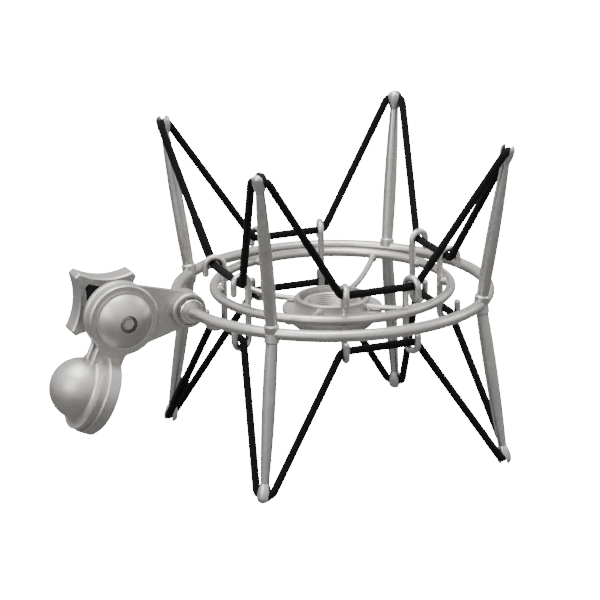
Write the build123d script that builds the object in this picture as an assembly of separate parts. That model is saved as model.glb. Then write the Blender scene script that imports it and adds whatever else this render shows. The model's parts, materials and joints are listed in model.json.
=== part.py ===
from build123d import *
import math
import os

# A cat's-cradle shock mount for a studio microphone: an outer ring on spindle posts carries an
# inner cradle on two elastic loops, and a swivel bracket joins the ring to a stand socket.
# Millimetres, +Z up along the microphone. The origin is on the microphone thread, level with the
# top of the cup's flange. The swivel bracket points along -X and its axis is parallel to Y.

# ---- driving dimensions -------------------------------------------------------------------

QUADRANTS = (0, 90, 180, 270)
POST_ANGLE = 45.0

RING_HEIGHT = 8.0
RING_RADIUS = 70.0
RING_TUBE_RADIUS = 2.6
RING_FIT_CLEARANCE = 0.02

TIP_RADIUS = 81.4
TIP_RISE = 69.8
POST_BASE_START = 0.9
POST_COLLAR_RADIUS = 3.3
POST_COLLAR_END = 3.9
POST_COLLAR_SLOPE = 0.6
POST_BASE_RADIUS = 2.7
POST_BELLY_RADIUS = 2.95
POST_BELLY_PLACE = 0.42
POST_NECK_RADIUS = 1.9
POST_FLARE_LENGTH = 5.4
POST_HEAD_RADIUS = 3.25
POST_HEAD_WIDEST = 0.8
POST_CROWN_HEIGHT = 3.4
POST_SLOT_WIDTH = 3.7
STUD_RADIUS = 1.3
STUD_HALF_LENGTH = 7.0

CRADLE_RING_HEIGHT = RING_HEIGHT + 1.6
CRADLE_RING_RADIUS = 53.0
CRADLE_TUBE_RADIUS = 2.2

HOOK_SPREAD = 17.4
HOOK_ROD_RADIUS = 1.5
HOOK_INNER_RADIUS = 48.6
HOOK_OUTER_RADIUS = 56.6
HOOK_BEND_RADIUS = 3.95
HOOK_TOP_RISE = 16.4
HOOK_END_RISE = 8.9
LUG_RADIUS = 1.8

CORD_RADIUS = 1.75
CORD_HOOK_RADIUS = 53.2
CORD_HOOK_RISE = 12.6
CORD_HOOK_SPREAD = HOOK_SPREAD + 2.0
CORD_HOOK_BEND = 3.4
CORD_TIP_BEND = 3.2
CORD_TIP_HALF_SPAN = 3.5
CORD_TIP_STRETCH = 0.25
CORD_GROOVE_CLEARANCE = 0.08

CUP_FLANGE_RADIUS = 22.6
CUP_FLANGE_THICKNESS = 2.2
CUP_COLLAR_RADIUS = 16.8
CUP_COLLAR_BORE = 15.0
CUP_COLLAR_HEIGHT = 4.6
CUP_EDGE = 0.7
CUP_HOLE_RADIUS = 13.2
ARM_ROD_RADIUS = 1.4
ARM_FLAT_START = CUP_COLLAR_RADIUS - 0.6
ARM_FLAT_END = 24.0
ARM_RING_INSET = 1.0
ARM_RING_DROP = 0.8

MIC_THREAD_RADIUS = 11.0
THREAD_RING_NECK = CUP_HOLE_RADIUS - 0.06
THREAD_RING_TOP = 2.6
THREAD_RING_GRIP_RADIUS = 18.4
THREAD_RING_GRIP_HEIGHT = 6.0
THREAD_RING_EDGE = 0.8
THREAD_RING_GAP = 0.15
CLIP_RADIUS = 14.4
CLIP_THICKNESS = 1.0
CLIP_GROOVE_DEPTH = 0.8
CLIP_OPENING = 3.0

SWIVEL_X = -100.2
SWIVEL_DROP = 0.5
TONGUE_RADIUS = 15.4
PLATE_END_RADIUS = 7.4
PLATE_HALF_THICKNESS = 1.6
BOSS_RADIUS = 7.8
BOSS_EDGE = 0.5
BOSS_HALF_LENGTH = 5.0
BOSS_LIP_BORE = 6.5
BOSS_LIP_DEPTH = 2.0
COLLAR_LARGE_RADIUS = 5.5
COLLAR_SMALL_RADIUS = 3.9
COLLAR_LARGE_LENGTH = 3.8
COLLAR_SMALL_LENGTH = 2.2
COLLAR_EDGE = 0.4
COLLAR_INSET = 0.4
GRUB_RADIUS = 1.5
GRUB_GAP = 0.05
GRUB_SINK = 0.5
GRUB_KEY_RADIUS = 0.85
GRUB_KEY_DEPTH = 1.6

SOCKET_TILT = 25.0
CHEEK_RADIUS = 15.9
CHEEK_THICKNESS = 2.9
CHEEK_GAP = 1.9
CHEEK_EDGE = 0.6
STALK_WIDTH = 14.0
STALK_REACH = 23.5
STALK_CORNER = 2.5
SOCKET_DROP = 35.1
MOUTH_X = 5.7
BRIM_RADIUS = 18.3
BRIM_LENGTH = 6.2
RIDGE_RADIUS = 17.8
GROOVE_RADIUS = 17.3
FLARE_LENGTH = 1.4
FLARE_BULGE = 0.45
GROOVE_LENGTH = 1.2
RIDGE_LENGTH = 2.0
SOCKET_EDGE = 0.9
DOME_RADIUS = 13.8
DOME_CENTRE_X = -5.2
INSERT_RADIUS = 10.0
INSERT_DEPTH = 15.5
INSERT_RECESS = 1.2
STAND_THREAD_RADIUS = 7.43

BOLT_RADIUS = 3.0
BUSH_RADIUS = 4.6
RUNNING_CLEARANCE = 0.05
DISC_RADIUS = 12.6
DISC_THICKNESS = 0.25
CAP_WASHER_RADIUS = 12.9
CAP_WASHER_THICKNESS = 0.9
CAP_RADIUS = 12.1
CAP_HEIGHT = 5.4
CAP_SEAT_GAP = 0.02
CAP_RECESS_RADIUS = 3.8
CAP_RECESS_DEPTH = 2.4
BOLT_NOSE_RADIUS = 2.4
BOLT_NOSE_LENGTH = 1.9
BOLT_END_DEPTH = 2.6

KNOB_TURN = 5.5
KNOB_START = 22.0
KNOB_THICKNESS = 10.4
KNOB_REACH = 19.0
KNOB_END_HALF_WIDTH = 1.5
KNOB_WAIST = 11.7
KNOB_CORNER_FILLET = 1.2
KNOB_EDGE = 0.7
KNOB_CORE_REACH = 12.2
KNOB_CORE_HALF_WIDTH = 1.2
KNOB_CORE_WAIST = 8.2
KNOB_CORE_FILLET = 0.8
KNOB_CORE_DEPTH = 6.4
KNOB_CORE_RECESS = 0.9
KNOB_INSERT_RADIUS = 4.8
KNOB_CAP_RADIUS = 7.5
KNOB_POCKET_DEPTH = 1.6
KNOB_CAP_SINK = 0.4
SPACER_RADIUS = 6.0
SPACER_FLANGE_RADIUS = 9.4
SPACER_FLANGE_LENGTH = 2.4
SPACER_GAP = 0.1

# ---- derived places -----------------------------------------------------------------------

CHEEK_OUTER = CHEEK_GAP + CHEEK_THICKNESS
WASHER_OUTER = CHEEK_OUTER + CAP_WASHER_THICKNESS
KNOB_END = KNOB_START + KNOB_THICKNESS
SWIVEL_CENTRE = Pos(SWIVEL_X, 0, RING_HEIGHT - SWIVEL_DROP)
SWIVEL_FRAME = SWIVEL_CENTRE * Rot(0, SOCKET_TILT, 0)
KNOB_FRAME = SWIVEL_CENTRE * Rot(0, KNOB_TURN, 0)


def polar(radius, angle, height):
    """A point at a radius and an angle (degrees) about the microphone axis."""
    turn = math.radians(angle)
    return Vector(radius * math.cos(turn), radius * math.sin(turn), height)


def slab(outline, y_low, y_high):
    """A flat outline drawn in X and Z, made solid between two Y values."""
    return extrude(Plane.XZ.offset(-y_high) * outline, amount=y_high - y_low)


def disc(radius, y_low, y_high):
    """A round slab about the Y axis."""
    return slab(Circle(radius), y_low, y_high)


def tube_along(path, radius):
    """A round rod along a path."""
    return sweep(Plane(origin=path @ 0, z_dir=path % 0) * Circle(radius), path=path)


def ring(radius, tube_radius, height):
    """A round wire ring about the microphone axis."""
    return Pos(0, 0, height) * Torus(radius, tube_radius)


# ---- outer frame --------------------------------------------------------------------------

def post_studs():
    """Threaded studs that pass through the ring and hold a post above and below it."""
    studs = []
    for quadrant in QUADRANTS:
        place = Location(polar(RING_RADIUS, quadrant + POST_ANGLE, RING_HEIGHT))
        studs.append(place * Cylinder(STUD_RADIUS, 2 * STUD_HALF_LENGTH))
    return studs


def outer_ring():
    """The main ring. The post studs are press fits in it, so it is left whole."""
    return ring(RING_RADIUS, RING_TUBE_RADIUS, RING_HEIGHT)


def tip_cord_path(side):
    """The stretch of elastic that turns over one post tip, at the first post."""
    tip = cord_tip_points(0, side)
    before = cord_hook_point(0, CORD_HOOK_SPREAD, side)
    after = cord_hook_point(90, -CORD_HOOK_SPREAD, side)
    start = tip[0] + (before - tip[0]) * CORD_TIP_STRETCH
    end = tip[1] + (after - tip[1]) * CORD_TIP_STRETCH
    return FilletPolyline(start, tip[0], tip[1], end, radius=CORD_TIP_BEND)


def post_outline(length):
    """Half of a spindle, drawn as radius and distance along it; the elastic crosses at length."""
    collar_end = (POST_BASE_RADIUS, POST_COLLAR_END + POST_COLLAR_SLOPE)
    neck = (POST_NECK_RADIUS, length - POST_FLARE_LENGTH)
    widest = (POST_HEAD_RADIUS, length + POST_HEAD_WIDEST)
    crown = (0, length + POST_CROWN_HEIGHT)
    foot = Polyline(crown, (0, POST_BASE_START), (POST_COLLAR_RADIUS, POST_BASE_START),
                    (POST_COLLAR_RADIUS, POST_COLLAR_END), collar_end)
    belly = ThreePointArc(collar_end, (POST_BELLY_RADIUS, POST_BELLY_PLACE * length), neck)
    flare = TangentArc(widest, neck, tangent=(0, -1))
    head = TangentArc(widest, crown, tangent=(0, 1))
    return make_face(foot + belly + flare + head)


def post_blank(side):
    """The spindle at the first post before it is turned round the ring; side is 1 up, -1 down."""
    foot = polar(RING_RADIUS, POST_ANGLE, RING_HEIGHT)
    tip = polar(TIP_RADIUS, POST_ANGLE, RING_HEIGHT + side * TIP_RISE)
    along = tip - foot
    length = along.length
    spindle = revolve(Plane.XZ * post_outline(length), axis=Axis.Z)
    floor = Pos(0, 0, length) * Rot(0, 90, 0) * Cylinder(POST_SLOT_WIDTH / 2, 4 * POST_HEAD_RADIUS)
    walls = Pos(0, 0, length + POST_CROWN_HEIGHT) * Box(
        4 * POST_HEAD_RADIUS, POST_SLOT_WIDTH, 2 * POST_CROWN_HEIGHT
    )
    spindle -= floor
    spindle -= walls
    stand = Plane(origin=foot, x_dir=polar(1, POST_ANGLE + 90, 0), z_dir=along.normalized())
    return stand.location * spindle


def post(side, studs):
    """One spindle with its saddle, stud hole and elastic groove cut."""
    body = post_blank(side)
    body -= ring(RING_RADIUS, RING_TUBE_RADIUS, RING_HEIGHT)
    body -= studs[0]
    body -= tube_along(tip_cord_path(side), CORD_RADIUS + CORD_GROOVE_CLEARANCE)
    return body


# ---- elastic loops ------------------------------------------------------------------------

def cord_hook_point(quadrant, spread, side):
    """Where the elastic turns in a hook."""
    return polar(CORD_HOOK_RADIUS, quadrant + spread, RING_HEIGHT + side * CORD_HOOK_RISE)


def cord_tip_points(quadrant, side):
    """The two points where the elastic enters and leaves the slot of a post tip."""
    middle = polar(TIP_RADIUS, quadrant + POST_ANGLE, RING_HEIGHT + side * TIP_RISE)
    tangent = polar(1, quadrant + POST_ANGLE + 90, 0)
    return (middle - tangent * CORD_TIP_HALF_SPAN, middle + tangent * CORD_TIP_HALF_SPAN)


def elastic_quarter_path(quadrant, side):
    """From the middle of one hook pair, over a post tip, to the middle of the next pair."""
    hook = cord_hook_point(quadrant, CORD_HOOK_SPREAD, side)
    next_hook = cord_hook_point(quadrant + 90, -CORD_HOOK_SPREAD, side)
    middle = (cord_hook_point(quadrant, -CORD_HOOK_SPREAD, side) + hook) / 2
    next_middle = (next_hook + cord_hook_point(quadrant + 90, CORD_HOOK_SPREAD, side)) / 2
    tip = cord_tip_points(quadrant, side)
    return FilletPolyline(
        middle, hook, tip[0], tip[1], next_hook, next_middle,
        radius=[CORD_HOOK_BEND, CORD_TIP_BEND, CORD_TIP_BEND, CORD_HOOK_BEND],
    )


def elastic(side):
    """One closed elastic loop: hook, hook, post tip, four times round."""
    loop = None
    for quadrant in QUADRANTS:
        path = elastic_quarter_path(quadrant, side)
        quarter = tube_along(path, CORD_RADIUS)
        ideal = math.pi * CORD_RADIUS ** 2 * path.length
        print(f"elastic quarter {path.length:.1f} mm, volume error {quarter.volume / ideal - 1:.4f}")
        loop = quarter if loop is None else loop + quarter
    return loop


# ---- swivel bracket -----------------------------------------------------------------------

def bracket_outline():
    """A tongue and a smaller round end joined by two tangent lines, about the ring's centreline."""
    span = math.hypot(RING_RADIUS + SWIVEL_X, SWIVEL_DROP)
    droop = math.atan2(SWIVEL_DROP, -SWIVEL_X - RING_RADIUS)
    lean = math.asin((TONGUE_RADIUS - PLATE_END_RADIUS) / span)
    corners = []
    for place, radius in ((-span, TONGUE_RADIUS), (0, PLATE_END_RADIUS)):
        for side in (1, -1):
            corners.append((place + radius * math.sin(lean), side * radius * math.cos(lean)))
    web = Polygon(corners[0], corners[1], corners[3], corners[2], align=None)
    outline = web + Pos(-span, 0) * Circle(TONGUE_RADIUS) + Circle(PLATE_END_RADIUS)
    return Rot(0, 0, math.degrees(droop)) * outline


def swivel_bracket():
    """The tapered plate from the ring to the swivel, with a boss that the ring runs through."""
    plate = slab(bracket_outline(), -PLATE_HALF_THICKNESS, PLATE_HALF_THICKNESS)
    boss = disc(BOSS_RADIUS, -BOSS_HALF_LENGTH, BOSS_HALF_LENGTH)
    boss = chamfer(boss.edges().filter_by(GeomType.CIRCLE), BOSS_EDGE)
    body = plate + boss
    for low, high in boss_recesses():
        body -= disc(BOSS_LIP_BORE, low, high)
    body = Pos(-RING_RADIUS, 0, RING_HEIGHT) * body
    body -= ring(RING_RADIUS, RING_TUBE_RADIUS + RING_FIT_CLEARANCE, RING_HEIGHT)
    body -= SWIVEL_CENTRE * disc(BUSH_RADIUS, -PLATE_HALF_THICKNESS, PLATE_HALF_THICKNESS)
    return body - grub_screw()


def boss_recesses():
    """The two shallow recesses in the boss's faces, as Y ranges."""
    floor = BOSS_HALF_LENGTH - BOSS_LIP_DEPTH
    return ((-BOSS_HALF_LENGTH, -floor), (floor, BOSS_HALF_LENGTH))


def ring_collar(side):
    """A stepped collar that closes the boss round the ring; side is -1 front, 1 rear."""
    floor = BOSS_HALF_LENGTH - BOSS_LIP_DEPTH
    step = floor + COLLAR_LARGE_LENGTH
    end = step + COLLAR_SMALL_LENGTH
    large = disc(COLLAR_LARGE_RADIUS, *sorted((side * floor, side * step)))
    large = chamfer(large.edges().filter_by(GeomType.CIRCLE), COLLAR_EDGE)
    small = disc(COLLAR_SMALL_RADIUS, *sorted((side * floor, side * end)))
    body = Pos(-RING_RADIUS + COLLAR_INSET, 0, RING_HEIGHT) * (large + small)
    return body - ring(RING_RADIUS, RING_TUBE_RADIUS + RING_FIT_CLEARANCE, RING_HEIGHT)


def grub_screw():
    """The set screw that stops the bracket turning on the ring."""
    top = RING_HEIGHT - RING_TUBE_RADIUS - GRUB_GAP
    bottom = RING_HEIGHT - BOSS_RADIUS + GRUB_SINK
    middle = (top + bottom) / 2
    screw = Pos(-RING_RADIUS, 0, middle) * Cylinder(GRUB_RADIUS, top - bottom)
    key = Pos(-RING_RADIUS, 0, bottom) * extrude(RegularPolygon(GRUB_KEY_RADIUS, 6), amount=GRUB_KEY_DEPTH)
    return screw - key


def pivot_bush():
    """The plain bush in the bracket's tongue."""
    half = PLATE_HALF_THICKNESS
    body = disc(BUSH_RADIUS, -half, half)
    return SWIVEL_CENTRE * (body - disc(BOLT_RADIUS + RUNNING_CLEARANCE, -half, half))


# ---- stand adapter ------------------------------------------------------------------------

def cheek(y_low, y_high):
    """One cheek of the fork: a disc on a stalk."""
    stalk = Pos(0, -STALK_REACH / 2) * Rectangle(STALK_WIDTH, STALK_REACH)
    outline = Circle(CHEEK_RADIUS) + stalk
    corners = outline.vertices().filter_by_position(Axis.Y, -CHEEK_RADIUS, -CHEEK_RADIUS / 2)
    outline = fillet(corners, STALK_CORNER)
    body = slab(outline, y_low, y_high)
    rims = body.edges().filter_by(GeomType.CIRCLE).filter_by(lambda e: e.radius > STALK_WIDTH)
    return chamfer(rims, CHEEK_EDGE)


def socket_profile():
    """Half of the hat-shaped socket, drawn as distance along its axis and radius."""
    brim_back = MOUTH_X - BRIM_LENGTH
    ridge_front = brim_back - GROOVE_LENGTH
    ridge_back = ridge_front - RIDGE_LENGTH
    edge = SOCKET_EDGE
    steps = Polyline(
        (DOME_CENTRE_X - DOME_RADIUS, 0),
        (MOUTH_X, 0),
        (MOUTH_X, BRIM_RADIUS - edge),
        (MOUTH_X - edge, BRIM_RADIUS),
        (brim_back + edge / 2, BRIM_RADIUS),
        (brim_back, BRIM_RADIUS - edge / 2),
        (brim_back, GROOVE_RADIUS),
        (ridge_front, GROOVE_RADIUS),
        (ridge_front, RIDGE_RADIUS),
        (ridge_back, RIDGE_RADIUS),
    )
    flare_end = (DOME_CENTRE_X, DOME_RADIUS)
    flare_middle = (ridge_back - FLARE_BULGE, (DOME_RADIUS + RIDGE_RADIUS - FLARE_LENGTH) / 2)
    flare = ThreePointArc((ridge_back, RIDGE_RADIUS), flare_middle, flare_end)
    shoulder = DOME_RADIUS * math.sqrt(0.5)
    dome = ThreePointArc(
        flare_end,
        (DOME_CENTRE_X - shoulder, shoulder),
        (DOME_CENTRE_X - DOME_RADIUS, 0),
    )
    return make_face(steps + flare + dome)


def along_socket(radius, start, end):
    """A cylinder on the socket's axis, between two distances from the swivel."""
    middle = (start + end) / 2
    return Pos(middle, 0, -SOCKET_DROP) * Rot(0, 90, 0) * Cylinder(radius, end - start)


def stand_socket():
    """The fork and the hat-shaped thread socket, one casting."""
    hat = revolve(Plane.XZ * socket_profile(), axis=Axis.X)
    body = Pos(0, 0, -SOCKET_DROP) * hat
    body += cheek(-CHEEK_OUTER, -CHEEK_GAP)
    body += cheek(CHEEK_GAP, CHEEK_OUTER)
    body -= along_socket(INSERT_RADIUS, MOUTH_X - INSERT_DEPTH, MOUTH_X + 1)
    body -= disc(BOLT_RADIUS, -CHEEK_OUTER, CHEEK_OUTER)
    return SWIVEL_FRAME * body


def thread_insert():
    """The threaded bush in the socket, bored at the thread's minor diameter."""
    back = MOUTH_X - INSERT_DEPTH
    front = MOUTH_X - INSERT_RECESS
    body = along_socket(INSERT_RADIUS, back, front)
    body -= along_socket(STAND_THREAD_RADIUS, back, front)
    return SWIVEL_FRAME * body


def friction_disc(side):
    """A thin fibre disc between the tongue and a cheek."""
    near = CHEEK_GAP - DISC_THICKNESS
    body = disc(DISC_RADIUS, *sorted((side * near, side * CHEEK_GAP)))
    return SWIVEL_CENTRE * (body - disc(BOLT_RADIUS, -CHEEK_GAP, CHEEK_GAP))


def cap_washer():
    """The flat washer under the domed cap."""
    body = disc(CAP_WASHER_RADIUS, -WASHER_OUTER, -CHEEK_OUTER)
    return SWIVEL_CENTRE * (body - disc(BOLT_RADIUS, -WASHER_OUTER, -CHEEK_OUTER))


def dome_cap():
    """The domed cap on the front cheek, with a round recess for the bolt's nose."""
    sphere_radius = (CAP_RADIUS ** 2 + CAP_HEIGHT ** 2) / (2 * CAP_HEIGHT)
    top = -WASHER_OUTER - CAP_HEIGHT
    floor = top + CAP_RECESS_DEPTH
    ball = Pos(0, top + sphere_radius, 0) * Sphere(sphere_radius)
    body = ball & disc(CAP_RADIUS, top, -WASHER_OUTER - CAP_SEAT_GAP)
    body -= disc(CAP_RECESS_RADIUS, top, floor)
    body -= disc(BOLT_RADIUS, floor, -WASHER_OUTER)
    return SWIVEL_CENTRE * body


def pivot_bolt():
    """The swivel bolt, from its hexagon nose in the domed cap to its end in the knob."""
    floor = -WASHER_OUTER - CAP_HEIGHT + CAP_RECESS_DEPTH
    shank = disc(BOLT_RADIUS, floor, KNOB_END - BOLT_END_DEPTH)
    nose = slab(RegularPolygon(BOLT_NOSE_RADIUS, 6), floor - BOLT_NOSE_LENGTH, floor)
    return SWIVEL_CENTRE * (shank + nose)


def knob_spacer():
    """The flanged sleeve between the rear cheek and the knob."""
    end = KNOB_START - SPACER_GAP
    body = disc(SPACER_FLANGE_RADIUS, CHEEK_OUTER, CHEEK_OUTER + SPACER_FLANGE_LENGTH)
    body += disc(SPACER_RADIUS, CHEEK_OUTER, end)
    return SWIVEL_CENTRE * (body - disc(BOLT_RADIUS, CHEEK_OUTER, end))


# ---- knob ---------------------------------------------------------------------------------

def star_outline(reach, half_width, waist, corner_fillet):
    """A four-armed star with concave sides and blunt arm ends."""
    sides = []
    for quadrant in QUADRANTS:
        turn = quadrant + POST_ANGLE
        end_left = Vector(reach, half_width).rotate(Axis.Z, turn)
        end_right = Vector(reach, -half_width).rotate(Axis.Z, turn)
        middle = Vector(waist, 0).rotate(Axis.Z, quadrant + 90)
        next_right = Vector(reach, -half_width).rotate(Axis.Z, turn + 90)
        sides.append(Line(end_right, end_left))
        sides.append(ThreePointArc(end_left, middle, next_right))
    outline = make_face(sides)
    return fillet(outline.vertices(), corner_fillet)


def core_outline():
    """The star of the knob's core."""
    return star_outline(KNOB_CORE_REACH, KNOB_CORE_HALF_WIDTH, KNOB_CORE_WAIST, KNOB_CORE_FILLET)


def star_knob():
    """The cast shell of the clamping knob, hollow towards the fork."""
    outline = star_outline(KNOB_REACH, KNOB_END_HALF_WIDTH, KNOB_WAIST, KNOB_CORNER_FILLET)
    body = slab(outline, KNOB_START, KNOB_END)
    body = chamfer(body.edges().filter_by(Plane.XZ), KNOB_EDGE)
    body -= slab(core_outline(), KNOB_START, KNOB_START + KNOB_CORE_DEPTH)
    body -= disc(KNOB_INSERT_RADIUS, KNOB_START, KNOB_END)
    body -= disc(KNOB_CAP_RADIUS, KNOB_END - KNOB_POCKET_DEPTH, KNOB_END)
    return KNOB_FRAME * body


def knob_core():
    """The moulded core that fills the knob's hollow."""
    end = KNOB_START + KNOB_CORE_DEPTH
    body = slab(core_outline(), KNOB_START + KNOB_CORE_RECESS, end)
    return KNOB_FRAME * (body - disc(KNOB_INSERT_RADIUS, KNOB_START, end))


def knob_insert():
    """The threaded bush in the middle of the knob."""
    end = KNOB_END - KNOB_POCKET_DEPTH
    body = disc(KNOB_INSERT_RADIUS, KNOB_START, end)
    return KNOB_FRAME * (body - disc(BOLT_RADIUS + RUNNING_CLEARANCE, KNOB_START, end))


def knob_cap():
    """The end plate in the knob's rear pocket."""
    floor = KNOB_END - KNOB_POCKET_DEPTH
    body = disc(KNOB_CAP_RADIUS, floor, KNOB_END - KNOB_CAP_SINK)
    return KNOB_FRAME * chamfer(body.edges().group_by(Axis.Y)[-1], KNOB_CAP_SINK)


# ---- cradle -------------------------------------------------------------------------------

def hook_rod(quadrant, spread):
    """A rod with a crook at each end, and the lug that joins it to the cradle ring."""
    profile = FilletPolyline(
        (HOOK_OUTER_RADIUS, HOOK_END_RISE),
        (HOOK_OUTER_RADIUS, HOOK_TOP_RISE),
        (HOOK_INNER_RADIUS, HOOK_TOP_RISE),
        (HOOK_INNER_RADIUS, -HOOK_TOP_RISE),
        (HOOK_OUTER_RADIUS, -HOOK_TOP_RISE),
        (HOOK_OUTER_RADIUS, -HOOK_END_RISE),
        radius=HOOK_BEND_RADIUS,
    )
    path = Plane.XZ * profile
    body = tube_along(path, HOOK_ROD_RADIUS)
    for end in (HOOK_END_RISE, -HOOK_END_RISE):
        body += Pos(HOOK_OUTER_RADIUS, 0, end) * Sphere(HOOK_ROD_RADIUS)
    lug_length = CRADLE_RING_RADIUS - HOOK_INNER_RADIUS
    lug_height = CRADLE_RING_HEIGHT - RING_HEIGHT
    lug = Pos(HOOK_INNER_RADIUS + lug_length / 2, 0, lug_height) * Rot(0, 90, 0)
    body += lug * Cylinder(LUG_RADIUS, lug_length)
    body = Pos(0, 0, RING_HEIGHT) * body
    body -= ring(CRADLE_RING_RADIUS, CRADLE_TUBE_RADIUS, CRADLE_RING_HEIGHT)
    return Rot(0, 0, quadrant + spread) * body


def arm_path():
    """A cup arm's centreline in X and Z: flat on the flange, then an arc up to the ring."""
    end = (CRADLE_RING_RADIUS - ARM_RING_INSET, CRADLE_RING_HEIGHT - ARM_RING_DROP)
    run = end[0] - ARM_FLAT_END
    rise = end[1] - ARM_ROD_RADIUS
    bend = (run ** 2 + rise ** 2) / (2 * rise)
    half_turn = math.asin(run / bend) / 2
    middle = (ARM_FLAT_END + bend * math.sin(half_turn),
              ARM_ROD_RADIUS + bend * (1 - math.cos(half_turn)))
    corner = (ARM_FLAT_END, ARM_ROD_RADIUS)
    flat = Line((ARM_FLAT_START, ARM_ROD_RADIUS), corner)
    return Plane.XZ * Wire([flat, ThreePointArc(corner, middle, end)])


def cup_arm(quadrant):
    """A curved rod that carries the cup from the cradle ring."""
    body = tube_along(arm_path(), ARM_ROD_RADIUS)
    body -= ring(CRADLE_RING_RADIUS, CRADLE_TUBE_RADIUS, CRADLE_RING_HEIGHT)
    body -= Cylinder(CUP_COLLAR_RADIUS, 4 * CUP_COLLAR_HEIGHT)
    return Rot(0, 0, quadrant + POST_ANGLE) * body


def cup():
    """The flanged cup that the microphone's base sits in."""
    flange = Pos(0, 0, -CUP_FLANGE_THICKNESS / 2) * Cylinder(CUP_FLANGE_RADIUS, CUP_FLANGE_THICKNESS)
    flange = fillet(flange.edges().filter_by(GeomType.CIRCLE), CUP_EDGE)
    collar = Pos(0, 0, CUP_COLLAR_HEIGHT / 2) * Cylinder(CUP_COLLAR_RADIUS, CUP_COLLAR_HEIGHT)
    collar = fillet(collar.edges().group_by(Axis.Z)[-1], CUP_EDGE)
    body = flange + collar
    body -= Pos(0, 0, CUP_COLLAR_HEIGHT / 2) * Cylinder(CUP_COLLAR_BORE, CUP_COLLAR_HEIGHT)
    return body - Cylinder(CUP_HOLE_RADIUS, 4 * CUP_FLANGE_THICKNESS)


def thread_ring():
    """The captive ring that screws onto the microphone's base, gripped from below."""
    grip_top = -CUP_FLANGE_THICKNESS - THREAD_RING_GAP
    grip_bottom = grip_top - THREAD_RING_GRIP_HEIGHT
    grip = Pos(0, 0, (grip_top + grip_bottom) / 2)
    body = grip * Cylinder(THREAD_RING_GRIP_RADIUS, THREAD_RING_GRIP_HEIGHT)
    body = chamfer(body.edges().filter_by(GeomType.CIRCLE), THREAD_RING_EDGE)
    neck_height = THREAD_RING_TOP - grip_top
    body += Pos(0, 0, grip_top + neck_height / 2) * Cylinder(THREAD_RING_NECK, neck_height)
    body -= Cylinder(MIC_THREAD_RADIUS, 8 * THREAD_RING_GRIP_HEIGHT)
    return body - retaining_clip()


def retaining_clip():
    """The spring clip in the neck's groove that keeps the threaded ring in the cup."""
    groove_floor = THREAD_RING_NECK - CLIP_GROOVE_DEPTH
    body = Pos(0, 0, THREAD_RING_GAP + CLIP_THICKNESS / 2) * Cylinder(CLIP_RADIUS, CLIP_THICKNESS)
    body -= Cylinder(groove_floor, 4 * CLIP_THICKNESS)
    return body - Pos(CLIP_RADIUS, 0, 0) * Box(CLIP_RADIUS, CLIP_OPENING, 4 * CLIP_THICKNESS)


# ---- the whole mount ----------------------------------------------------------------------

def all_parts():
    """Every piece by name."""
    studs = post_studs()
    parts = {
        "outer_ring": outer_ring(),
        "post_studs": Compound(children=studs),
        "elastic_upper": elastic(1),
        "elastic_lower": elastic(-1),
        "swivel_bracket": swivel_bracket(),
        "ring_collar_front": ring_collar(-1),
        "ring_collar_rear": ring_collar(1),
        "grub_screw": grub_screw(),
        "pivot_bush": pivot_bush(),
        "stand_socket": stand_socket(),
        "thread_insert": thread_insert(),
        "friction_disc_front": friction_disc(-1),
        "friction_disc_rear": friction_disc(1),
        "cap_washer": cap_washer(),
        "dome_cap": dome_cap(),
        "pivot_bolt": pivot_bolt(),
        "knob_spacer": knob_spacer(),
        "star_knob": star_knob(),
        "knob_core": knob_core(),
        "knob_insert": knob_insert(),
        "knob_cap": knob_cap(),
        "inner_ring": ring(CRADLE_RING_RADIUS, CRADLE_TUBE_RADIUS, CRADLE_RING_HEIGHT),
        "cup": cup(),
        "thread_ring": thread_ring(),
        "retaining_clip": retaining_clip(),
    }
    for side, name in ((1, "upper"), (-1, "lower")):
        first_post = post(side, studs)
        for number, quadrant in enumerate(QUADRANTS, start=1):
            parts[f"post_{name}_{number}"] = Rot(0, 0, quadrant) * first_post
    number = 0
    for quadrant in QUADRANTS:
        for spread in (-HOOK_SPREAD, HOOK_SPREAD):
            number += 1
            parts[f"hook_rod_{number}"] = hook_rod(quadrant, spread)
    for number, quadrant in enumerate(QUADRANTS, start=1):
        parts[f"cup_arm_{number}"] = cup_arm(quadrant)
    return parts


os.makedirs("parts", exist_ok=True)
for node, solid in all_parts().items():
    export_step(solid, f"parts/{node}.step")
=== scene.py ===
import json
import math

import bpy
from mathutils import Matrix, Vector, noise


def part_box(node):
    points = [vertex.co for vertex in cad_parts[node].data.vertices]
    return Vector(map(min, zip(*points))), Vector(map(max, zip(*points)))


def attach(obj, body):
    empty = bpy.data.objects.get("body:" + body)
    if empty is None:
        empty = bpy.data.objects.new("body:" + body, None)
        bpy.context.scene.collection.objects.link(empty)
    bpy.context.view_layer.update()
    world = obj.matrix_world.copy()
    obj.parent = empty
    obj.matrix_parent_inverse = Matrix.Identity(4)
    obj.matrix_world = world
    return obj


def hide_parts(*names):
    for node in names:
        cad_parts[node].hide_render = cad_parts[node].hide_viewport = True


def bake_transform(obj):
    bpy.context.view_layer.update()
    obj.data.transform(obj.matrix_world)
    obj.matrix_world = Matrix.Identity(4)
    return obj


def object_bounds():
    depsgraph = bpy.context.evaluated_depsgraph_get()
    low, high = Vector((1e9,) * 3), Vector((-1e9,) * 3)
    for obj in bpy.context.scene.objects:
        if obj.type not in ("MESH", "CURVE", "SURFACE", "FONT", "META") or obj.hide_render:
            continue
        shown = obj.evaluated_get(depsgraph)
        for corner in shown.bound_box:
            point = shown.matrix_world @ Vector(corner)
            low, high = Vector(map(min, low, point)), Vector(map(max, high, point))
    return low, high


# Looks for a cat's-cradle microphone shock mount. Metres, +Z up along the microphone.
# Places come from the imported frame's boxes; the sizes below are the small ones it doesn't state.

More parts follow.
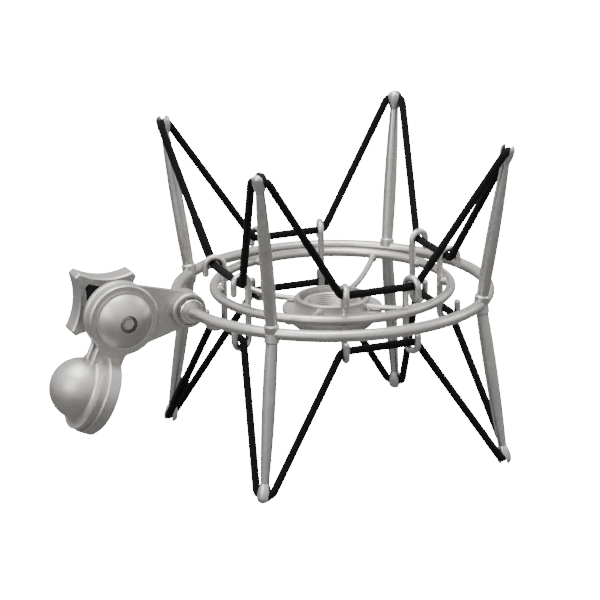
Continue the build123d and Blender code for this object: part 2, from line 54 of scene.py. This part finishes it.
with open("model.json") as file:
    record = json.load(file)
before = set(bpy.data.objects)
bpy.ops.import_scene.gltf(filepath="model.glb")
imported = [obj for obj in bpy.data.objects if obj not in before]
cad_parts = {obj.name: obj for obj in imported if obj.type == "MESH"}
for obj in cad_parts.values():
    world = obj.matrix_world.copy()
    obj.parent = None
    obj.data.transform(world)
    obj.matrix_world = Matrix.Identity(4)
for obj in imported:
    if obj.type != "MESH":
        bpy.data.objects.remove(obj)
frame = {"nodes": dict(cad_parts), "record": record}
cad_box = [list(corner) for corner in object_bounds()]

MM = 0.001
QUADRANTS = (0, 90, 180, 270)
POST_ANGLE = 45

# ---- places taken from the frame -----------------------------------------------------------


def centre(node):
    """The middle of a node's box."""
    low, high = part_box(node)
    return (Vector(low) + Vector(high)) / 2


def half_size(node):
    """Half the size of a node's box along X, Y and Z."""
    low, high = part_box(node)
    return (Vector(high) - Vector(low)) / 2


def polar(radius, degrees, height):
    """A point at a radius and an angle about the microphone axis."""
    turn = math.radians(degrees)
    return Vector((radius * math.cos(turn), radius * math.sin(turn), height))


RING_CENTRE = centre("outer_ring")
CRADLE_CENTRE = centre("inner_ring")
CRADLE_TUBE = half_size("inner_ring").z
CRADLE_RADIUS = half_size("inner_ring").y - CRADLE_TUBE

# the elastic's route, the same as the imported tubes
CORD_RADIUS = 1.75 * MM
CORD_HOOK = (53.2 * MM, 19.4, 12.6 * MM)
CORD_TIP = (81.4 * MM, 69.8 * MM)
CORD_TIP_HALF_SPAN = 3.5 * MM
CORD_HOOK_BEND = 3.4 * MM
CORD_TIP_BEND = 3.2 * MM

HOOK_SPREAD = 17.4
HOOK_RADIUS = 48.6 * MM

# the groove between the bolt's nose and the domed cap, where the disc's colour is darkened as painted
# shade
GROOVE_INNER = 2.7 * MM
GROOVE_OUTER = 3.9 * MM
GROOVE_FADE = 0.2 * MM


# ---- mesh helpers --------------------------------------------------------------------------

def add_mesh(name, verts, faces, smooth=True):
    """A new object from points and faces."""
    mesh = bpy.data.meshes.new(name)
    mesh.from_pydata([tuple(v) for v in verts], [], faces)
    mesh.validate()
    mesh.update()
    mesh.polygons.foreach_set("use_smooth", [smooth] * len(mesh.polygons))
    piece = bpy.data.objects.new(name, mesh)
    bpy.context.scene.collection.objects.link(piece)
    return piece


def grid_faces(rows, columns, close_rows=False):
    """Quads over a grid whose columns wrap round, and whose rows may."""
    faces = []
    for row in range(rows if close_rows else rows - 1):
        here, there = row * columns, (row + 1) % rows * columns
        for column in range(columns):
            after = (column + 1) % columns
            faces.append((here + column, here + after, there + after, there + column))
    return faces


def lathe(name, rows, columns, place):
    """A closed ring-shaped solid: each row is a height and a radius, or a function of the angle."""
    verts = []
    for radius, height in rows:
        for column in range(columns):
            turn = 2 * math.pi * column / columns
            reach = radius(turn) if callable(radius) else radius
            verts.append(place @ Vector((reach * math.cos(turn), reach * math.sin(turn), height)))
    return add_mesh(name, verts, grid_faces(len(rows), columns, close_rows=True))


def crease(piece):
    """Splits the shading at sharp edges."""
    split = piece.modifiers.new("crease", "EDGE_SPLIT")
    split.split_angle = math.radians(50)


# ---- materials -----------------------------------------------------------------------------

class Nodes:
    """A short way to write a node tree."""

    def __init__(self, name, roughness=0.4, metallic=0.0):
        self.material = bpy.data.materials.new(name)
        self.material.use_nodes = True
        self.tree = self.material.node_tree
        self.shader = self.tree.nodes["Principled BSDF"]
        self.shader.inputs["Roughness"].default_value = roughness
        self.shader.inputs["Metallic"].default_value = metallic
        self.place = self.add("ShaderNodeTexCoord").outputs["Object"]

    def add(self, kind, **settings):
        """A new node with its settings."""
        node = self.tree.nodes.new(kind)
        for key, value in settings.items():
            setattr(node, key, value)
        return node

    def join(self, start, end):
        """A link from an output to an input."""
        self.tree.links.new(start, end)

    def noise(self, scale, detail=3.0, roughness=0.5):
        """Noise over the object, in cells per metre."""
        texture = self.add("ShaderNodeTexNoise")
        texture.inputs["Scale"].default_value = scale
        texture.inputs["Detail"].default_value = detail
        texture.inputs["Roughness"].default_value = roughness
        self.join(self.place, texture.inputs["Vector"])
        return texture.outputs["Fac"]

    def between(self, value, low, high, start=0.3, end=0.7):
        """A number that runs from low to high as value runs from start to end."""
        node = self.add("ShaderNodeMapRange")
        node.inputs["From Min"].default_value = start
        node.inputs["From Max"].default_value = end
        node.inputs["To Min"].default_value = low
        node.inputs["To Max"].default_value = high
        self.join(value, node.inputs["Value"])
        return node.outputs["Result"]

    def maths(self, operation, first, second=None):
        """A sum, product or other function of values or numbers."""
        node = self.add("ShaderNodeMath", operation=operation)
        for socket, value in zip(node.inputs, (first, second)):
            if isinstance(value, (int, float)):
                socket.default_value = value
            elif value is not None:
                self.join(value, socket)
        return node.outputs["Value"]

    def colours(self, value, *stops):
        """A colour ramp; each stop is a place and a colour."""
        node = self.add("ShaderNodeValToRGB")
        ramp = node.color_ramp
        while len(ramp.elements) < len(stops):
            ramp.elements.new(0.5)
        for element, (place, colour) in zip(ramp.elements, stops):
            element.position = place
            element.color = (*colour, 1)
        self.join(value, node.inputs["Fac"])
        return node.outputs["Color"]

    def shade(self, value, colour, dark, light, start=0.3, end=0.7):
        """The base colour, from dark to light times one colour."""
        stops = [(start, [c * dark for c in colour]), (end, [min(1, c * light) for c in colour])]
        self.join(self.colours(value, *stops), self.shader.inputs["Base Color"])

    def gloss(self, value, low, high):
        """Roughness from low to high."""
        self.join(self.between(value, low, high), self.shader.inputs["Roughness"])

    def bump(self, *layers):
        """Bump from (height, distance in metres, strength) layers, one on another."""
        normal = None
        for height, distance, strength in layers:
            node = self.add("ShaderNodeBump")
            node.inputs["Distance"].default_value = distance
            node.inputs["Strength"].default_value = strength
            self.join(height, node.inputs["Height"])
            if normal is not None:
                self.join(normal, node.inputs["Normal"])
            normal = node.outputs["Normal"]
        self.join(normal, self.shader.inputs["Normal"])


def satin_metal(name, colour, roughness, grain):
    """Satin plating over a cast or drawn piece: fine grain, faint clouds and handling marks."""
    n = Nodes(name, metallic=1.0)
    n.shade(n.noise(70, 4, 0.55), colour, 0.88, 1.07)
    n.gloss(n.noise(420, 5, 0.6), roughness - 0.05, roughness + 0.09)
    n.bump((n.noise(3000, 3, 0.6), 0.00005, 0.5 * grain), (n.noise(700, 2, 0.5), 0.0001, 0.22 * grain))
    return n.material


def turned_metal(name, colour, axis, spacing, roughness):
    """Metal turned on a lathe: fine rings across an axis, tarnished in patches."""
    n = Nodes(name, metallic=1.0)
    n.shade(n.noise(160, 4, 0.6), colour, 0.78, 1.1)
    n.gloss(n.noise(600, 3), roughness - 0.05, roughness + 0.1)
    wave = n.add("ShaderNodeTexWave", wave_type="BANDS", bands_direction=axis)
    wave.inputs["Scale"].default_value = 1 / spacing / 20
    wave.inputs["Distortion"].default_value = 0.4
    n.join(n.place, wave.inputs["Vector"])
    n.bump((wave.outputs["Fac"], 0.00003, 0.5), (n.noise(2500, 2), 0.00003, 0.3))
    return n.material


def brushed_disc(name, colour, roughness):
    """The swivel's dome, washer and bolt: satin, faint circles, painted shade in the groove round the
    bolt.
    """
    n = Nodes(name, metallic=1.0)
    mapping = n.add("ShaderNodeMapping", vector_type="TEXTURE")
    mapping.inputs["Location"].default_value = centre("pivot_bush")
    n.join(n.place, mapping.inputs["Vector"])
    split = n.add("ShaderNodeSeparateXYZ")
    n.join(mapping.outputs["Vector"], split.inputs["Vector"])
    across, up = split.outputs["X"], split.outputs["Z"]
    squares = n.maths("ADD", n.maths("MULTIPLY", across, across), n.maths("MULTIPLY", up, up))
    radius = n.maths("SQRT", squares)
    outside = n.between(radius, 0, 1, GROOVE_INNER - GROOVE_FADE, GROOVE_INNER + GROOVE_FADE)
    inside = n.between(radius, 1, 0, GROOVE_OUTER - GROOVE_FADE, GROOVE_OUTER + GROOVE_FADE)
    # painted shade: the colour darkens in a ring where the groove round the bolt lies in shade
    groove_shade = n.maths("MULTIPLY", n.maths("MULTIPLY", outside, inside), 0.5)
    value = n.maths("SUBTRACT", n.noise(80, 4, 0.55), groove_shade)
    stops = ((0.0, 0.36), (0.3, 0.9), (0.7, 1.06))
    ramp = [(place, [min(1, c * tone) for c in colour]) for place, tone in stops]
    n.join(n.colours(value, *ramp), n.shader.inputs["Base Color"])
    n.gloss(n.noise(500, 4, 0.6), roughness - 0.04, roughness + 0.08)
    wave = n.add("ShaderNodeTexWave", wave_type="RINGS", rings_direction="Y")
    wave.inputs["Scale"].default_value = 130
    wave.inputs["Distortion"].default_value = 0.6
    n.join(mapping.outputs["Vector"], wave.inputs["Vector"])
    n.bump((wave.outputs["Fac"], 0.00002, 0.35), (n.noise(2800, 3, 0.6), 0.00004, 0.4))
    return n.material


def pocket_shade_moulding(name):
    """Matt black plastic with a fine spark-eroded grain and dust in it; its black is painted shade for
    the knob's deep pocket.
    """
    n = Nodes(name)
    n.shade(n.noise(300, 4, 0.6), (0.005, 0.005, 0.0055), 0.7, 1.7)
    n.shader.inputs["Specular IOR Level"].default_value = 0.25
    n.gloss(n.noise(900, 3), 0.48, 0.66)
    n.bump((n.noise(4200, 2), 0.00005, 0.5))
    return n.material


def fibre(name):
    """Pressed brown-black fibre."""
    n = Nodes(name)
    n.shade(n.noise(900, 5, 0.7), (0.075, 0.06, 0.045), 0.5, 1.6)
    n.gloss(n.noise(1200, 3), 0.7, 0.9)
    n.bump((n.noise(2600, 4, 0.7), 0.00006, 0.6))
    return n.material


def braid(name):
    """The elastic's braided black cover: two sets of slanting strands over and under."""
    strands_round = 8
    picks_along = 5.2
    n = Nodes(name)
    uv = n.add("ShaderNodeUVMap", uv_map="cord").outputs["UV"]
    split = n.add("ShaderNodeSeparateXYZ")
    n.join(uv, split.inputs["Vector"])
    along = n.maths("MULTIPLY", split.outputs["X"], picks_along * 2 * math.pi)
    across = n.maths("MULTIPLY", split.outputs["Y"], strands_round * 2 * math.pi)
    left = n.maths("ABSOLUTE", n.maths("SINE", n.maths("ADD", along, across)))
    right = n.maths("ABSOLUTE", n.maths("SINE", n.maths("SUBTRACT", along, across)))
    weave = n.maths("MULTIPLY", left, right)
    n.shade(weave, (0.006, 0.006, 0.0065), 0.25, 1.6, 0.1, 0.9)
    n.shader.inputs["Specular IOR Level"].default_value = 0.08
    n.gloss(n.noise(1500, 3), 0.6, 0.8)
    n.shader.inputs["Sheen Weight"].default_value = 0.03
    n.shader.inputs["Sheen Roughness"].default_value = 0.45
    n.bump((weave, 0.00018, 0.8), (n.noise(9000, 2), 0.00003, 0.5))
    return n.material


def give(material, *nodes):
    """Gives CAD nodes a material in every slot they have."""
    for node in nodes:
        for slot in frame["nodes"][node].material_slots:
            slot.material = material


def numbered(name, count):
    """The names of a row of like nodes."""
    return [f"{name}_{number}" for number in range(1, count + 1)]


NICKEL = (0.62, 0.605, 0.575)
BRIGHT_NICKEL = (0.78, 0.77, 0.74)
ZINC = (0.42, 0.43, 0.44)
BRASS = (0.62, 0.44, 0.19)

POSTS = numbered("post_upper", 4) + numbered("post_lower", 4)
HOOKS = numbered("hook_rod", 8)
ARMS = numbered("cup_arm", 4)

wire_nickel = satin_metal("wire_nickel", NICKEL, 0.33, 0.8)
cast_nickel = satin_metal("cast_nickel", [c * 0.97 for c in NICKEL], 0.40, 1.3)
disc_nickel = brushed_disc("disc_nickel", [c * 1.03 for c in NICKEL], 0.40)
bright_nickel = satin_metal("bright_nickel", BRIGHT_NICKEL, 0.24, 0.15)
zinc = turned_metal("zinc_hardware", ZINC, "Y", 0.0004, 0.3)
brass = turned_metal("turned_brass", BRASS, "Z", 0.0003, 0.25)
black = pocket_shade_moulding("pocket_shade_core")
braided = braid("braided_cover")

give(wire_nickel, "outer_ring", "inner_ring", *POSTS, *HOOKS, *ARMS)
give(cast_nickel, "swivel_bracket", "stand_socket", "star_knob", "knob_cap", "cup", "thread_ring")
give(disc_nickel, "dome_cap", "cap_washer", "pivot_bolt")
give(bright_nickel, "ring_collar_front", "ring_collar_rear")
give(zinc, "post_studs", "grub_screw", "knob_spacer", "retaining_clip")
give(brass, "pivot_bush", "thread_insert", "knob_insert")
# the knob's core is black as painted shade deep in the knob's pocket
give(black, "knob_core")
give(fibre("fibre_disc"), "friction_disc_front", "friction_disc_rear")


# ---- elastic loops -------------------------------------------------------------------------

def cord_corners(side):
    """The corners of one loop and the bend at each: hook, tip, tip, hook, four times round."""
    corners = []
    hook_radius, hook_spread, hook_rise = CORD_HOOK
    tip_radius, tip_rise = CORD_TIP
    for quadrant in QUADRANTS:
        height = RING_CENTRE.z + side * hook_rise
        middle = polar(tip_radius, quadrant + POST_ANGLE, RING_CENTRE.z + side * tip_rise)
        tangent = polar(CORD_TIP_HALF_SPAN, quadrant + POST_ANGLE + 90, 0)
        corners.append((polar(hook_radius, quadrant + hook_spread, height), CORD_HOOK_BEND))
        corners.append((middle - tangent, CORD_TIP_BEND))
        corners.append((middle + tangent, CORD_TIP_BEND))
        corners.append((polar(hook_radius, quadrant + 90 - hook_spread, height), CORD_HOOK_BEND))
    return corners


def rounded_loop(corners, step):
    """Points along a closed route whose corners are arcs, about a step apart."""
    points = []
    count = len(corners)
    for index, (corner, bend) in enumerate(corners):
        before = (corners[index - 1][0] - corner).normalized()
        after = (corners[(index + 1) % count][0] - corner).normalized()
        opening = before.angle(after)
        reach = bend / math.tan(opening / 2)
        start, end = corner + before * reach, corner + after * reach
        if points:
            points += straight(points[-1], start, step)
        bisector = (before + after).normalized()
        hub = corner + bisector * (bend / math.sin(opening / 2))
        turn = math.pi - opening
        steps = max(2, round(bend * turn / step))
        first, last = start - hub, end - hub
        for number in range(steps + 1):
            share = number / steps
            weight = math.sin((1 - share) * turn), math.sin(share * turn)
            points.append(hub + (first * weight[0] + last * weight[1]) / math.sin(turn))
    return points + straight(points[-1], points[0], step)


def straight(start, end, step):
    """The points between two ends, without the ends."""
    steps = max(1, round((end - start).length / step))
    return [start.lerp(end, number / steps) for number in range(1, steps)]


def loop_frames(points):
    """Two directions across the route at each point, turned so that the loop closes."""
    count = len(points)
    tangents = [(points[(i + 1) % count] - points[i - 1]).normalized() for i in range(count)]
    side = tangents[0].orthogonal().normalized()
    sides = [side]
    for index in range(1, count + 1):
        turn = tangents[index - 1].rotation_difference(tangents[index % count])
        side = turn @ side
        sides.append(side)
    tangent = tangents[0]
    twist = math.atan2(sides[0].cross(sides[-1]).dot(tangent), sides[0].dot(sides[-1]))
    frames = []
    for index in range(count):
        across = Matrix.Rotation(-twist * index / count, 3, tangents[index]) @ sides[index]
        frames.append((across, tangents[index].cross(across)))
    return frames


def splice_swell(distance, start, length):
    """How much thicker the elastic is where its ends are joined and bound with thread."""
    place = (distance - start) / length
    if not 0 < place < 1:
        return 1.0
    thread_pitch = 1.3 * MM
    thickening, ripple, taper = 0.22, 0.05, 8
    ends = min(1.0, taper * place, taper * (1 - place))
    return 1.0 + thickening * ends + ripple * ends * math.sin(2 * math.pi * distance / thread_pitch)


def elastic_loop(name, side, splice_start):
    """One braided elastic loop with its bound splice."""
    columns = 24
    step = 0.65 * MM
    splice_length = 21 * MM
    strands, strand_turn, strand_depth = 8, 0.55 * MM, 0.022
    points = rounded_loop(cord_corners(side), step)
    frames = loop_frames(points)
    verts = []
    distances = []
    distance = 0.0
    for index, (point, (across, up)) in enumerate(zip(points, frames)):
        distances.append(distance)
        swell = splice_swell(distance, splice_start, splice_length)
        for column in range(columns):
            turn = 2 * math.pi * column / columns
            lump = 1 + strand_depth * (math.cos(strands * turn + distance / strand_turn) - 1)
            reach = CORD_RADIUS * swell * lump
            verts.append(point + (across * math.cos(turn) + up * math.sin(turn)) * reach)
        distance += (points[(index + 1) % len(points)] - point).length
    piece = add_mesh(name, verts, grid_faces(len(points), columns, close_rows=True))
    distances.append(distance)
    wrap_cord_uv(piece, distances, columns)
    piece.data.materials.append(braided)
    return piece


def wrap_cord_uv(piece, distances, columns):
    """UVs in cord circumferences along the loop and once round it."""
    layer = piece.data.uv_layers.new(name="cord")
    circumference = 2 * math.pi * CORD_RADIUS
    rows = len(distances) - 1
    for polygon in piece.data.polygons:
        row, column = divmod(polygon.index, columns)
        corners = ((row, column), (row, column + 1), (row + 1, column + 1), (row + 1, column))
        for loop_index, vertex in zip(polygon.loop_indices, polygon.vertices):
            vertex_row, vertex_column = divmod(vertex, columns)
            along = row if vertex_row == row else row + 1
            around = column if vertex_column == column else column + 1
            layer.data[loop_index].uv = (distances[along] / circumference, around / columns)


def make_elastics():
    """The two loops; each bends between the posts and the cradle's hooks."""
    for node, side, splice in (("elastic_upper", 1, 300 * MM), ("elastic_lower", -1, 262 * MM)):
        piece = elastic_loop(f"{node}_braid", side, splice)
        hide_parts(node)
        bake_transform(piece)


# ---- braze beads ---------------------------------------------------------------------------

def bead(name, place, along, reach, width, seed):
    """A small uneven braze bead on the cradle, drawn out along one direction."""
    rows, columns = 14, 20
    unevenness, lumps = 0.16, 1.7
    turn = Vector((0, 0, 1)).rotation_difference(along).to_matrix()
    verts = []
    for row in range(rows):
        tilt = math.pi * (row + 0.5) / rows
        for column in range(columns):
            spin = 2 * math.pi * column / columns
            round_part = math.sin(tilt)
            point = Vector((round_part * math.cos(spin), round_part * math.sin(spin), math.cos(tilt)))
            swell = 1 + unevenness * noise.noise(point * lumps + Vector((seed, 0, 0)))
            sized = Vector((point.x * width, point.y * width, point.z * reach)) * swell
            verts.append(place + turn @ sized)
    faces = grid_faces(rows, columns)
    faces.append(tuple(reversed(range(columns))))
    faces.append(tuple(range((rows - 1) * columns, rows * columns)))
    piece = add_mesh(name, verts, faces)
    piece.data.materials.append(wire_nickel)
    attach(piece, "cradle")


def make_beads():
    """Beads where the hook rods, the lugs and the cup's arms are brazed on."""
    number = 0
    for quadrant in QUADRANTS:
        for spread in (-HOOK_SPREAD, HOOK_SPREAD):
            number += 1
            angle = quadrant + spread
            place = polar(CRADLE_RADIUS - 2.0 * MM, angle, CRADLE_CENTRE.z)
            outward = polar(1, angle, 0)
            bead(f"hook_bead_{number}", place, outward, 1.5 * MM, 2.35 * MM, number)
            foot = polar(HOOK_RADIUS + 1.3 * MM, angle, CRADLE_CENTRE.z)
            bead(f"lug_bead_{number}", foot, outward, 1.3 * MM, 2.15 * MM, number + 20)
    for number, node in enumerate(ARMS, start=1):
        angle = QUADRANTS[number - 1] + POST_ANGLE
        end = polar(CRADLE_RADIUS - 1.9 * MM, angle, CRADLE_CENTRE.z - 1.6 * MM)
        rising = polar(1, angle, 0.4).normalized()
        bead(f"arm_bead_{number}", end, rising, 1.6 * MM, 2.0 * MM, number + 40)
        root = polar(17.4 * MM, angle, 1.0 * MM)
        bead(f"arm_root_bead_{number}", root, polar(1, angle, 0), 1.7 * MM, 1.9 * MM, number + 60)


# ---- threads -------------------------------------------------------------------------------

def thread_radius(height, pitch, depth, minor):
    """The bore's radius at an angle: a helix of rounded crests at the minor radius."""
    def radius(turn):
        place = (height / pitch - turn / (2 * math.pi)) % 1
        return minor + depth * (1 - abs(2 * place - 1))
    return radius


def thread_rows(low, high, pitch, depth, minor):
    """The rows of a threaded bore from low to high."""
    steps = max(4, round((high - low) / pitch * 8))
    heights = [low + (high - low) * step / steps for step in range(steps + 1)]
    return [(thread_radius(height, pitch, depth, minor), height) for height in heights]


def make_stand_insert():
    """The stand socket's brass insert with its 27-turn-per-inch thread."""
    outer, minor, depth, pitch = 10.0 * MM, 7.43 * MM, 0.46 * MM, 25.4 * MM / 27
    edge = 0.5 * MM
    mount = next(m for m in frame["record"]["mounts"] if m["name"] == "stand_thread")
    axis = Vector(mount["axis"])
    half = mount["dims"]["length_mm"] * MM / 2
    turn = Vector((0, 0, 1)).rotation_difference(axis).to_matrix().to_4x4()
    place = Matrix.Translation(Vector(mount["pos_m"])) @ turn
    rows = [(minor + depth + edge / 2, half)]
    rows += [(outer - edge, half), (outer, half - edge), (outer, -half)]
    rows += [(minor + depth, -half)] + thread_rows(-half + edge, half - edge, pitch, depth, minor)
    piece = lathe("stand_thread_insert", rows, 96, place)
    crease(piece)
    piece.data.materials.append(brass)
    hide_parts("thread_insert")
    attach(piece, "stand_adapter")


def make_thread_ring():
    """The captive ring under the cup: a knurled grip and a threaded neck."""
    low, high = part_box("thread_ring")
    grip, bottom, top = high[0], low[2], high[2]
    grip_top = bottom + 6.0 * MM
    neck, minor, depth, pitch = 13.14 * MM, 11.0 * MM, 0.4 * MM, 0.9 * MM
    flutes, flute_depth, edge = 60, 0.45 * MM, 0.8 * MM

    def knurl(turn):
        return grip - flute_depth * abs(math.sin(flutes / 2 * turn)) ** 0.7

    rows = [(minor + depth + edge / 2, top), (neck - edge / 2, top), (neck, top - edge / 2)]
    rows += [(neck, grip_top), (grip - 1.6 * edge, grip_top), (grip - edge, grip_top - 0.1 * edge)]
    rows += [(knurl, grip_top - edge), (knurl, bottom + edge)]
    rows += [(grip - edge, bottom + 0.1 * edge), (grip - 1.6 * edge, bottom)]
    rows += [(minor + depth + edge / 2, bottom)]
    rows += thread_rows(bottom + edge / 2, top - edge / 2, pitch, depth, minor)
    piece = lathe("knurled_thread_ring", rows, 360, Matrix.Identity(4))
    crease(piece)
    piece.data.materials.append(cast_nickel)
    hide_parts("thread_ring")
    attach(piece, "thread_ring")


# ---- floor, lights, camera -----------------------------------------------------------------

# bright enough for the view transform to show it as pure white
WHITE_GLOW = 22.0


def make_floor():
    """A plain floor that glows, so that it reads as pure white, and doesn't light the metal."""
    size = 6.0
    level = cad_box[0][2]
    corners = [(-size, -size, level), (size, -size, level), (size, size, level), (-size, size, level)]
    floor = add_mesh("floor", corners, [(0, 1, 2, 3)], smooth=False)
    n = Nodes("floor_white", roughness=0.22)
    n.shade(n.noise(3, 2), (0.90, 0.90, 0.90), 0.98, 1.0)
    n.shader.inputs["Emission Color"].default_value = (1, 1, 1, 1)
    n.shader.inputs["Emission Strength"].default_value = WHITE_GLOW
    floor.data.materials.append(n.material)
    floor.visible_glossy = False
    floor.visible_diffuse = False


def area_light(name, place, aim, size, power):
    """A square soft box."""
    data = bpy.data.lights.new(name, "AREA")
    data.shape = "SQUARE"
    data.size = size
    data.energy = power
    lamp = bpy.data.objects.new(name, data)
    lamp.location = place
    lamp.rotation_euler = (Vector(aim) - Vector(place)).to_track_quat("-Z", "Y").to_euler()
    bpy.context.scene.collection.objects.link(lamp)


def make_lights():
    """Soft studio light: a large top box, a box on the left and a weak one on the right."""
    aim = RING_CENTRE
    area_light("top_box", aim + Vector((-0.25, -0.1, 1.2)), aim, 0.9, 17)
    area_light("left_box", aim + Vector((-1.3, -0.7, 0.7)), aim, 0.7, 7)
    area_light("right_box", aim + Vector((1.4, -0.3, 0.7)), aim, 0.7, 3)


def make_room():
    """White to the eye, but a studio with a dark lower half in the reflections."""
    world = bpy.data.worlds.new("room")
    world.use_nodes = True
    tree = world.node_tree
    seen = tree.nodes["Background"]
    seen.inputs["Color"].default_value = (1, 1, 1, 1)
    seen.inputs["Strength"].default_value = WHITE_GLOW
    reflected = tree.nodes.new("ShaderNodeBackground")
    coordinates = tree.nodes.new("ShaderNodeTexCoord")
    split = tree.nodes.new("ShaderNodeSeparateXYZ")
    ramp = tree.nodes.new("ShaderNodeValToRGB")
    heights = tree.nodes.new("ShaderNodeMapRange")
    heights.inputs["From Min"].default_value = -1
    tree.links.new(coordinates.outputs["Generated"], split.inputs["Vector"])
    tree.links.new(split.outputs["Z"], heights.inputs["Value"])
    tree.links.new(heights.outputs["Result"], ramp.inputs["Fac"])
    ramp.color_ramp.elements[0].position = 0.36
    ramp.color_ramp.elements[0].color = (0.22, 0.22, 0.22, 1)
    ramp.color_ramp.elements[1].position = 0.75
    ramp.color_ramp.elements[1].color = (1.0, 1.0, 1.0, 1)
    reflected.inputs["Strength"].default_value = 1.15
    tree.links.new(ramp.outputs["Color"], reflected.inputs["Color"])
    path = tree.nodes.new("ShaderNodeLightPath")
    mix = tree.nodes.new("ShaderNodeMixShader")
    tree.links.new(path.outputs["Is Camera Ray"], mix.inputs["Fac"])
    tree.links.new(reflected.outputs["Background"], mix.inputs[1])
    tree.links.new(seen.outputs["Background"], mix.inputs[2])
    tree.links.new(mix.outputs["Shader"], tree.nodes["World Output"].inputs["Surface"])
    bpy.context.scene.world = world


def make_camera():
    """The viewing angle: slightly above, turned towards the swivel bracket."""
    azimuth = math.radians(-22.7)
    elevation = math.radians(17.2)
    distance = 1.2
    level = math.cos(elevation)
    back = Vector((math.sin(azimuth) * level, -math.cos(azimuth) * level, math.sin(elevation)))
    target = RING_CENTRE + Vector((-21.2, -13.0, 0.9)) * MM
    data = bpy.data.cameras.new("camera")
    data.sensor_width = 36
    data.lens = 163.3
    data.clip_end = 50
    camera = bpy.data.objects.new("camera", data)
    camera.location = target + back * distance
    look = (-back).to_track_quat("-Z", "Y").to_matrix().to_4x4()
    roll = Matrix.Rotation(math.radians(-0.7), 4, "Z")
    camera.matrix_world = Matrix.Translation(camera.location) @ look @ roll
    bpy.context.scene.collection.objects.link(camera)
    bpy.context.scene.camera = camera


make_camera()
make_elastics()
make_beads()
make_stand_insert()
make_thread_ring()
make_floor()
make_lights()
make_room()
